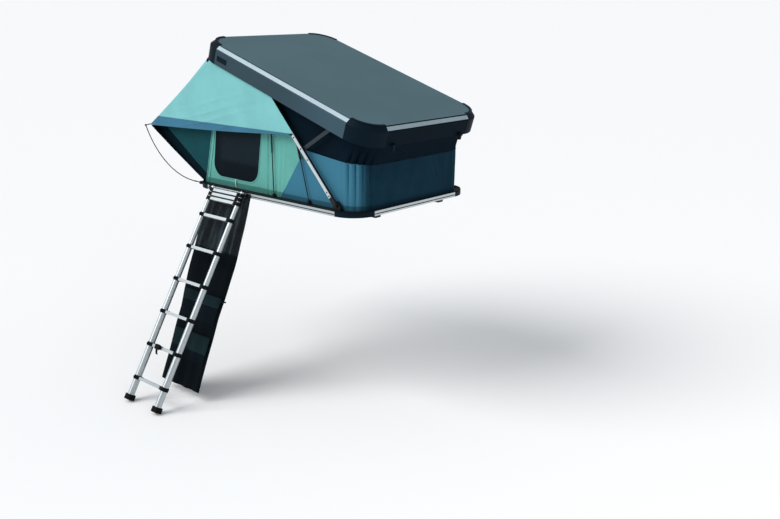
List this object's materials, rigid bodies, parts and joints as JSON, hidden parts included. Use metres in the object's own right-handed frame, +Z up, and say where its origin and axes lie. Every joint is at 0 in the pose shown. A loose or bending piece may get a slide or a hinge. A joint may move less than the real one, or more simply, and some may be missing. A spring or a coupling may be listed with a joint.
{
  "type": "roof top tent",
  "caption": "Hard-shell roof top tent with a tilting lid on folding arms, cloth walls, rear awning on bowed rods and a telescopic side ladder.",
  "frame": {"origin": "centre of the mounting plane under the two mounting rails", "axes": "+X to the vehicle's front (the lid's low end), +Y to its left, +Z up"},
  "size_m": [2.9905, 2.5431, 3.023],
  "materials": {
    "base_board": "matte",
    "lid_board": "satin",
    "lining": "matte",
    "mattress": "matte",
    "silver": "satin",
    "lid_side": "satin",
    "lid_end": "satin",
    "moulding": "matte",
    "rubber": "matte",
    "dark_metal": "satin",
    "steel": "satin",
    "grey_metal": "satin",
    "black_tube": "gloss",
    "navy_cloth": "matte",
    "green_cloth": "matte",
    "mesh": "matte",
    "dark_cloth": "matte",
    "gusset_cloth": "matte",
    "teal_cloth": "matte",
    "blue_cloth": "matte",
    "screen_cloth": "matte",
    "webbing": "matte"
  },
  "bodies": {
    "base": {"base_panel": "base_board", "base_side_rails": "silver", "base_end_rails": "silver", "base_corners": "moulding", "base_seal": "rubber", "mounting_rails": "dark_metal", "mattress": "mattress", "arm_brackets": "dark_metal", "base_pins": "steel", "strut_feet": "dark_metal", "ladder_bracket": "dark_metal", "front_wall": "navy_cloth", "side_walls": "green_cloth", "windows": "mesh", "gaiter": "dark_cloth", "fly_sides": "teal_cloth", "fly_hems": "blue_cloth", "ladder_screen": "screen_cloth"},
    "awning_cloth": {"awning": "teal_cloth", "rear_panel": "dark_cloth", "gussets": "gusset_cloth"},
    "lid": {"lid_panel": "lid_board", "lid_side_rails": "lid_side", "lid_end_rails": "lid_end", "lid_corners": "moulding", "lid_grips": "silver", "lid_lining": "lining", "arm_tracks": "dark_metal", "link_brackets": "dark_metal", "side_latch_plates": "moulding", "latch_brackets": "moulding"},
    "latch_left": {"latch_hook_left": "moulding"},
    "latch_right": {"latch_hook_right": "moulding"},
    "arms": {"arms": "dark_metal", "clamp_bars": "silver", "clamp_screws": "steel", "arm_runners": "steel", "arm_pins": "steel"},
    "links": {"links": "grey_metal"},
    "front_rods": {"front_strut_rods": "steel"},
    "front_tubes": {"front_strut_tubes": "black_tube"},
    "rear_rods": {"rear_strut_rods": "steel"},
    "rear_mids": {"rear_strut_mids": "black_tube"},
    "rear_tubes": {"rear_strut_tubes": "black_tube"},
    "rod_left": {"awning_rod_left": "steel"},
    "rod_right": {"awning_rod_right": "steel"},
    "ladder_top": {"ladder_head": "silver", "ladder_head_collars": "moulding"},
    "ladder_5": {"ladder_section_5": "silver", "ladder_collars_5": "moulding"},
    "ladder_4": {"ladder_section_4": "silver", "ladder_collars_4": "moulding"},
    "ladder_3": {"ladder_section_3": "silver", "ladder_collars_3": "moulding"},
    "ladder_2": {"ladder_section_2": "silver", "ladder_collars_2": "moulding"},
    "ladder_1": {"ladder_section_1": "silver", "ladder_collars_1": "moulding", "ladder_feet": "rubber", "tie_strap": "webbing"}
  },
  "joints": [
    {"name": "arm_fold", "type": "hinge", "parent": "base", "child": "arms", "pos_m": [0.788, 0, 0.124], "axis": [0, -1, 0], "range_deg": [0, 47], "deforming": ["front_wall", "side_walls", "windows", "gaiter", "gussets", "rear_panel", "fly_sides", "fly_hems", "awning"]},
    {"name": "link_swing", "type": "hinge", "parent": "arms", "child": "links", "pos_m": [0.4116, 0, 0.52764], "axis": [0, -1, 0], "range_deg": [-78.34, 0]},
    {"name": "lid_tilt", "type": "hinge", "parent": "links", "child": "lid", "pos_m": [0.7721, 0, 0.74683], "axis": [0, -1, 0], "range_deg": [0, 48.83]},
    {"name": "front_strut_swing", "type": "hinge", "parent": "base", "child": "front_rods", "pos_m": [0.451, 0, 0.1], "axis": [0, -1, 0], "range_deg": [0, 71]},
    {"name": "front_strut_slide", "type": "slide", "parent": "front_rods", "child": "front_tubes", "axis": [-0.2655, 0, 0.9641], "range_m": [-0.18861, 0]},
    {"name": "rear_strut_swing", "type": "hinge", "parent": "base", "child": "rear_rods", "pos_m": [0.02, 0, 0.095], "axis": [0, -1, 0], "range_deg": [0, 84.46]},
    {"name": "rear_mid_slide", "type": "slide", "parent": "rear_rods", "child": "rear_mids", "axis": [-0.0226, 0, 0.9997], "range_m": [-0.29515, 0]},
    {"name": "rear_tube_slide", "type": "slide", "parent": "rear_mids", "child": "rear_tubes", "axis": [-0.0226, 0, 0.9997], "range_m": [-0.19095, 0]},
    {"name": "awning_fold", "type": "hinge", "parent": "lid", "child": "awning_cloth", "pos_m": [-0.82689, 0, 1.26567], "axis": [0, -1, 0], "range_deg": [0, 122.2]},
    {"name": "latch_left_swing", "type": "hinge", "parent": "lid", "child": "latch_left", "pos_m": [1.14792, 0.42, 0.60527], "axis": [0, -1, 0], "range_deg": [0, 60]},
    {"name": "latch_right_swing", "type": "hinge", "parent": "lid", "child": "latch_right", "pos_m": [1.14792, -0.42, 0.60527], "axis": [0, -1, 0], "range_deg": [0, 60]},
    {"name": "rod_left_pull", "type": "slide", "parent": "base", "child": "rod_left", "axis": [-1, 0, 0], "range_m": [0, 0.03]},
    {"name": "rod_right_pull", "type": "slide", "parent": "base", "child": "rod_right", "axis": [-1, 0, 0], "range_m": [0, 0.03]},
    {"name": "ladder_swing", "type": "hinge", "parent": "base", "child": "ladder_top", "pos_m": [-0.495, -0.762, 0.078], "axis": [-1, 0, 0], "range_deg": [0, 30]},
    {"name": "ladder_slide_5", "type": "slide", "parent": "ladder_top", "child": "ladder_5", "axis": [0, 0.5075, 0.8616], "range_m": [0, 0.11706]},
    {"name": "ladder_slide_4", "type": "slide", "parent": "ladder_5", "child": "ladder_4", "axis": [0, 0.5075, 0.8616], "range_m": [0, 0.265]},
    {"name": "ladder_slide_3", "type": "slide", "parent": "ladder_4", "child": "ladder_3", "axis": [0, 0.5075, 0.8616], "range_m": [0, 0.26513]},
    {"name": "ladder_slide_2", "type": "slide", "parent": "ladder_3", "child": "ladder_2", "axis": [0, 0.5075, 0.8616], "range_m": [0, 0.26513]},
    {"name": "ladder_slide_1", "type": "slide", "parent": "ladder_2", "child": "ladder_1", "axis": [0, 0.5075, 0.8616], "range_m": [0, 0.26513]}
  ],
  "couplings": [
    {"joint": "link_swing", "follows": "arm_fold", "ratio": -1.666},
    {"joint": "lid_tilt", "follows": "arm_fold", "ratio": 1.0383},
    {"joint": "front_strut_swing", "follows": "arm_fold", "ratio": 1.51},
    {"joint": "front_strut_slide", "follows": "arm_fold", "m_per_rad": -0.22982},
    {"joint": "rear_strut_swing", "follows": "arm_fold", "ratio": 1.7962},
    {"joint": "rear_mid_slide", "follows": "arm_fold", "m_per_rad": -0.35962},
    {"joint": "rear_tube_slide", "follows": "arm_fold", "m_per_rad": -0.23266},
    {"joint": "awning_fold", "follows": "arm_fold", "ratio": 2.5987},
    {"joint": "ladder_slide_5", "follows": "ladder_slide_4", "ratio": 0.44151},
    {"joint": "ladder_slide_3", "follows": "ladder_slide_4", "ratio": 1},
    {"joint": "ladder_slide_2", "follows": "ladder_slide_4", "ratio": 1},
    {"joint": "ladder_slide_1", "follows": "ladder_slide_4", "ratio": 1}
  ]
}
